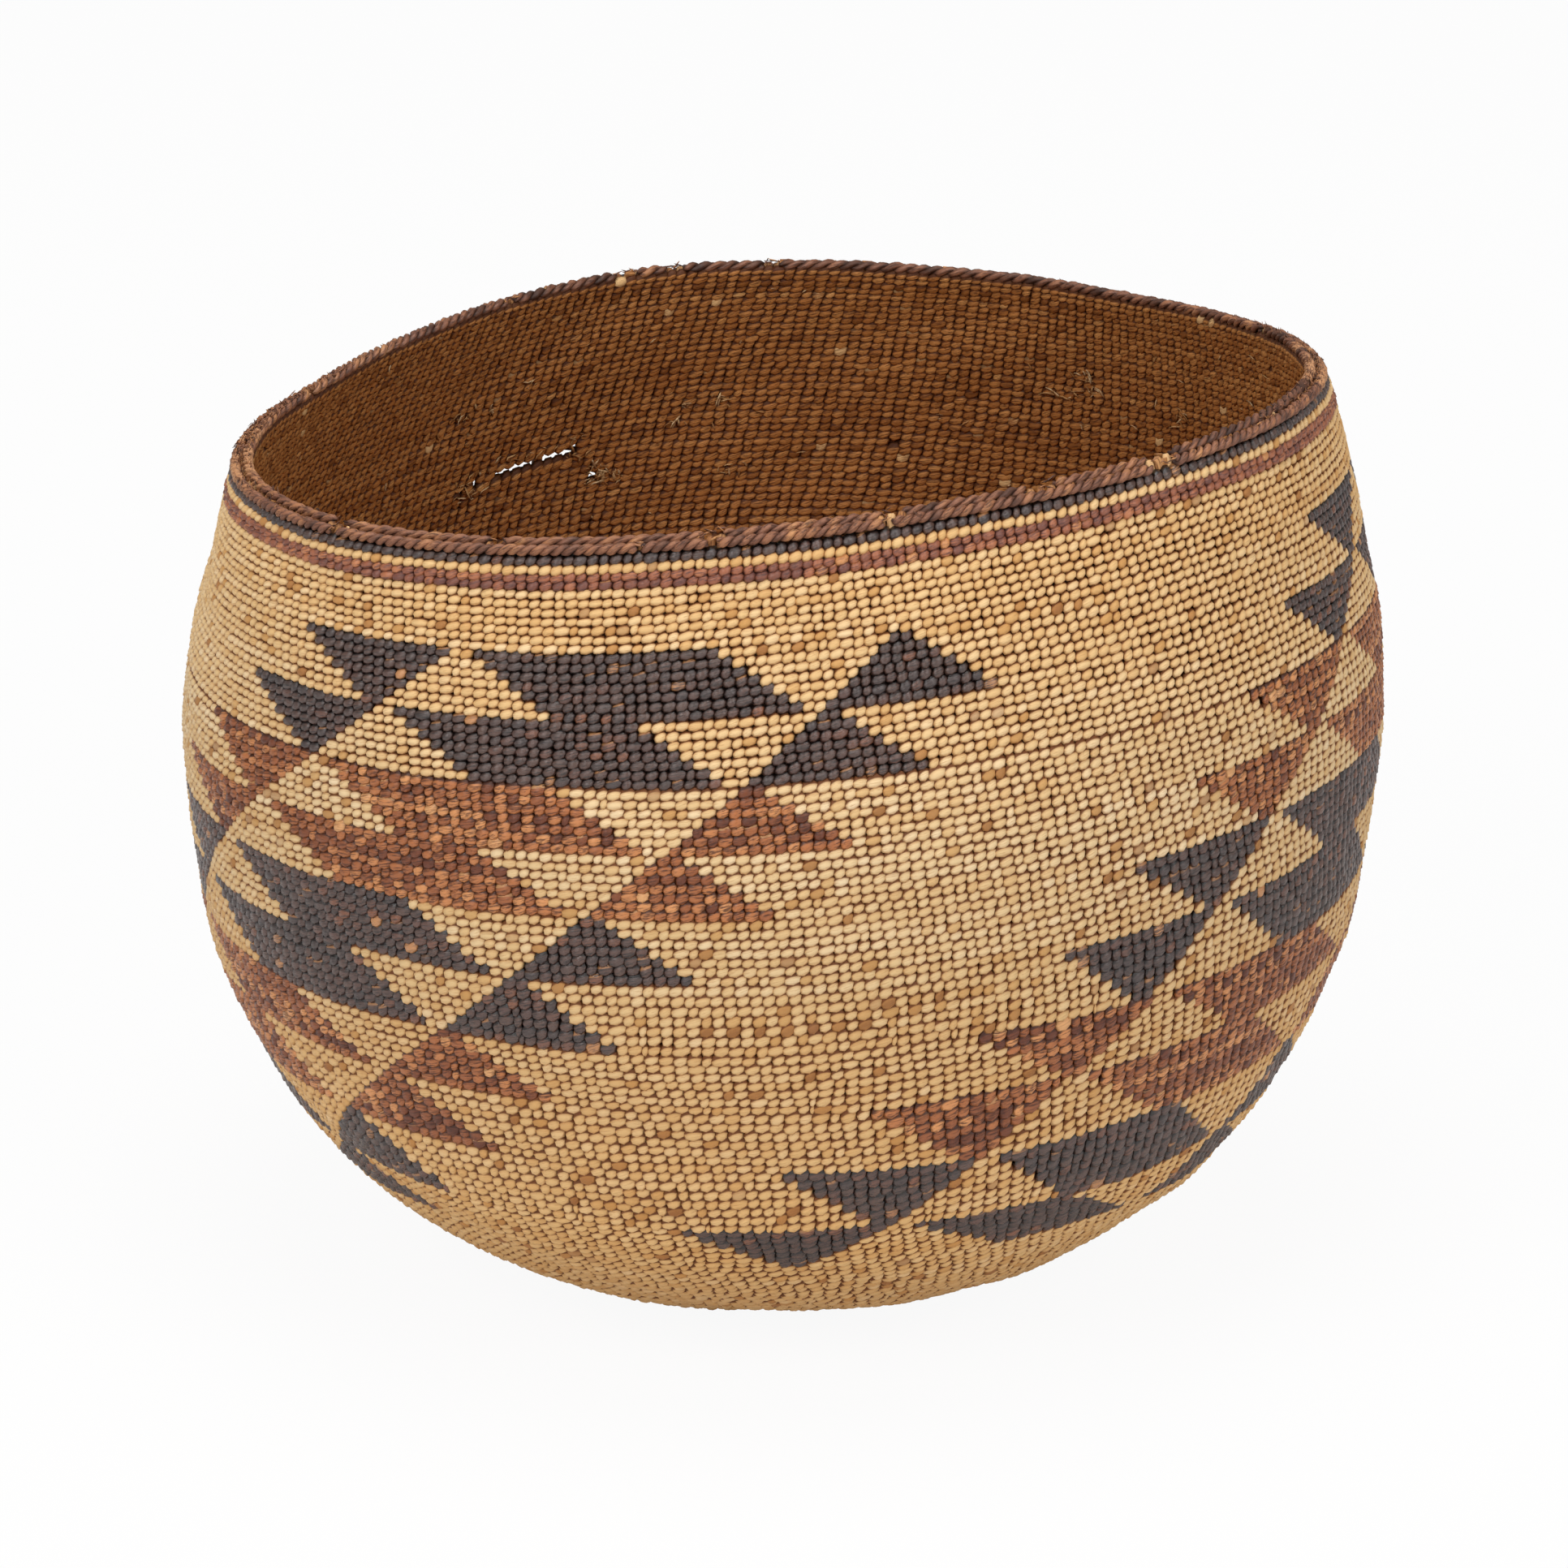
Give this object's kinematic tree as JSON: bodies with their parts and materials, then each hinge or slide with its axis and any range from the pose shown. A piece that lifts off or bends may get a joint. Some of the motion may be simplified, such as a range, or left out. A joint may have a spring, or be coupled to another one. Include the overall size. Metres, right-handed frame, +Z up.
{
  "type": "twined basket bowl",
  "caption": "Squat round woven bowl with a wide open mouth, a small flat base, stepped bands of pattern on its wall and a rope-bound rim, for holding food or small goods.",
  "frame": {"origin": "middle of the flat underside, where the weave starts", "axes": "+Z up through the mouth, -Y the side that faces the viewer, +X the side to the viewer's right, and the rim stands highest between +X and -Y"},
  "size_m": [0.2502, 0.2498, 0.2011],
  "materials": {
    "straw_overlay": "pale plant fibre, dull, with a faint sheen along the strand",
    "dark_fern_overlay": "brown-black fern stem, soft sheen",
    "red_fern_overlay": "red-brown dyed fibre, dull",
    "root_weft": "split root, dull brown",
    "rim_rope": "twisted root, worn and dull",
    "warp_shoot": "peeled shoot, dull"
  },
  "bodies": {
    "root": {"start_binding": "straw_overlay", "base_weft": "straw_overlay", "wall_pale_lower": "straw_overlay", "wall_pale_upper": "straw_overlay", "border_pale": "straw_overlay", "pattern_dark_low": "dark_fern_overlay", "pattern_dark_middle": "dark_fern_overlay", "pattern_dark_high": "dark_fern_overlay", "border_dark": "dark_fern_overlay", "pattern_red_low": "red_fern_overlay", "pattern_red_high": "red_fern_overlay", "border_red": "red_fern_overlay", "inner_base": "root_weft", "inner_wall_low": "root_weft", "inner_wall_middle": "root_weft", "inner_wall_high": "root_weft", "rim_rope_outer": "rim_rope", "rim_rope_inner": "rim_rope", "warp_crossing_01": "warp_shoot", "warp_crossing_02": "warp_shoot", "warp_crossing_03": "warp_shoot", "warp_crossing_04": "warp_shoot", "warp_crossing_05": "warp_shoot", "warp_crossing_06": "warp_shoot", "warp_crossing_07": "warp_shoot", "warp_crossing_08": "warp_shoot", "warp_crossing_09": "warp_shoot", "warp_crossing_10": "warp_shoot", "warp_added_01": "warp_shoot", "warp_added_02": "warp_shoot", "warp_added_03": "warp_shoot", "warp_added_04": "warp_shoot", "warp_added_05": "warp_shoot", "warp_added_06": "warp_shoot", "warp_added_07": "warp_shoot", "warp_added_08": "warp_shoot", "warp_added_09": "warp_shoot", "warp_added_10": "warp_shoot", "warp_added_11": "warp_shoot", "warp_added_12": "warp_shoot", "warp_added_13": "warp_shoot", "warp_added_14": "warp_shoot", "warp_added_15": "warp_shoot", "warp_added_16": "warp_shoot", "warp_added_17": "warp_shoot", "warp_added_18": "warp_shoot", "warp_added_19": "warp_shoot", "warp_added_20": "warp_shoot"}
  },
  "joints": []
}
